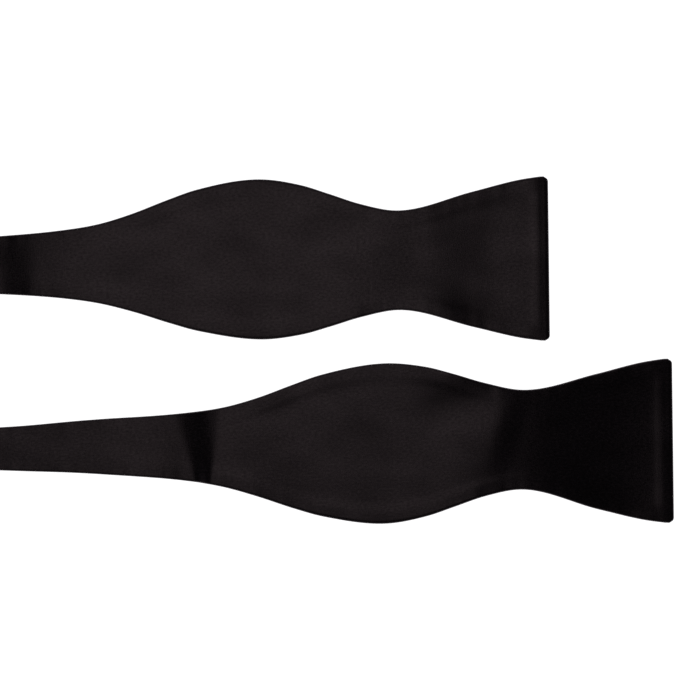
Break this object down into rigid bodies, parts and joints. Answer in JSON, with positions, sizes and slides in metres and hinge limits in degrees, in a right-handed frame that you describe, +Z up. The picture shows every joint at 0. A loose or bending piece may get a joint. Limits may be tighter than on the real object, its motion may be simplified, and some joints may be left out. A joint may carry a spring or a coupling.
{
  "type": "bow tie",
  "caption": "Untied self-tie bow tie in black satin: two butterfly blades on an adjustable neckband with slider, hook and eye.",
  "frame": {"origin": "centre of the bounding box in X and Y, on the surface that the tie lies on", "axes": "+X along the blades towards their flared ends, +Y from the hook half's blade to the eye half's blade, +Z up from the face of the satin"},
  "size_m": [0.5014, 0.1389, 0.0151],
  "materials": {
    "satin": "black warp-faced satin with a soft sheen",
    "interlining": "plain-weave canvas, undyed",
    "tape": "black woven satin tape",
    "thread": "black spun polyester sewing thread",
    "fittings": "nickel-plated die-cast zinc",
    "label": "blank woven label"
  },
  "bodies": {
    "hook_half": {"hook_half_front": "satin", "hook_half_back": "satin", "hook_half_interlining": "interlining", "hook_half_seam": "thread", "tape_inlet": "tape", "tape_join_stitches": "thread"},
    "slider": {"slider_frame": "fittings", "slider_loop": "tape", "tape_over_bar": "tape"},
    "band_end": {"tape_fold": "tape", "tape_run": "tape", "tape_return": "tape"},
    "hook": {"hook": "fittings"},
    "eye": {"eye_ring": "fittings"},
    "eye_half": {"eye_half_front": "satin", "eye_half_back": "satin", "eye_half_interlining": "interlining", "eye_half_seam": "thread", "eye_loop_tape": "tape", "eye_loop_stitches": "thread", "eye_join_stitches": "thread", "neck_label": "label", "neck_label_stitches": "thread"}
  },
  "joints": [
    {"name": "slider_travel", "type": "slide", "parent": "hook_half", "child": "slider", "axis": [-1, 0, 0], "range_m": [-0.012, 0.072], "deforming": ["tape_inlet"]},
    {"name": "tape_take_up", "type": "slide", "parent": "slider", "child": "band_end", "axis": [-1, 0, 0], "range_m": [-0.036, 0.006], "deforming": ["tape_run", "tape_return"]},
    {"name": "hook_hinge", "type": "hinge", "parent": "band_end", "child": "hook", "pos_m": [-0.1113, -0.0367, 0.0029], "axis": [0, 1, 0], "range_deg": [0, 30]},
    {"name": "unhook", "type": "slide", "parent": "hook", "child": "eye", "axis": [1, 0, 0], "range_m": [0, 0.005]},
    {"name": "eye_hinge", "type": "hinge", "parent": "eye", "child": "eye_half", "pos_m": [-0.1353, -0.0367, 0.0017], "axis": [0, 1, 0], "range_deg": [-30, 0]}
  ],
  "couplings": [
    {"joint": "tape_take_up", "follows": "slider_travel", "ratio": -0.5},
    {"joint": "eye_hinge", "follows": "hook_hinge", "ratio": -1}
  ]
}
